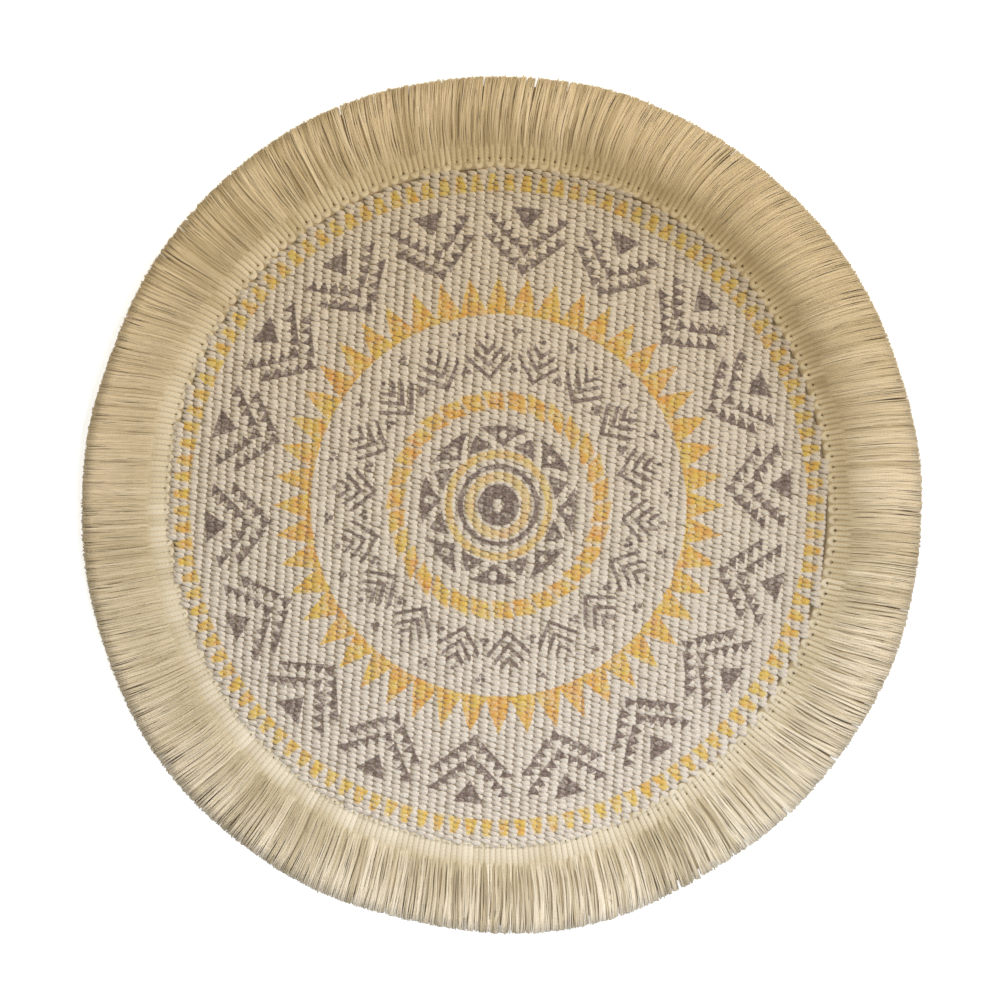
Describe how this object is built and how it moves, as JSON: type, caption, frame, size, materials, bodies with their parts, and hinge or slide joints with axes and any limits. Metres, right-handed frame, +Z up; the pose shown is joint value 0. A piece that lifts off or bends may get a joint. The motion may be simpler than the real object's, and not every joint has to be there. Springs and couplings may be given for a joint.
{
  "type": "round fabric placemat with fringed edge",
  "caption": "Round ribbed cotton placemat, a flat woven disc with a looped heading and a cut fringe round its edge, to lie under a plate on a table.",
  "frame": {"origin": "middle of the mat's outline, on the surface it lies on", "axes": "+Z up through the cloth's face, +Y towards the far side as the picture shows it, along which the ribs run, +X to the right"},
  "size_m": [0.3772, 0.384, 0.0033],
  "materials": {
    "cloth_cotton": "matt ribbed cotton weave, printed in ochre yellow and grey-brown on natural beige",
    "fringe_cotton": "matt natural cotton yarn, khaki cream"
  },
  "bodies": {
    "root": {"cloth": "cloth_cotton", "fringe": "fringe_cotton"}
  },
  "joints": []
}
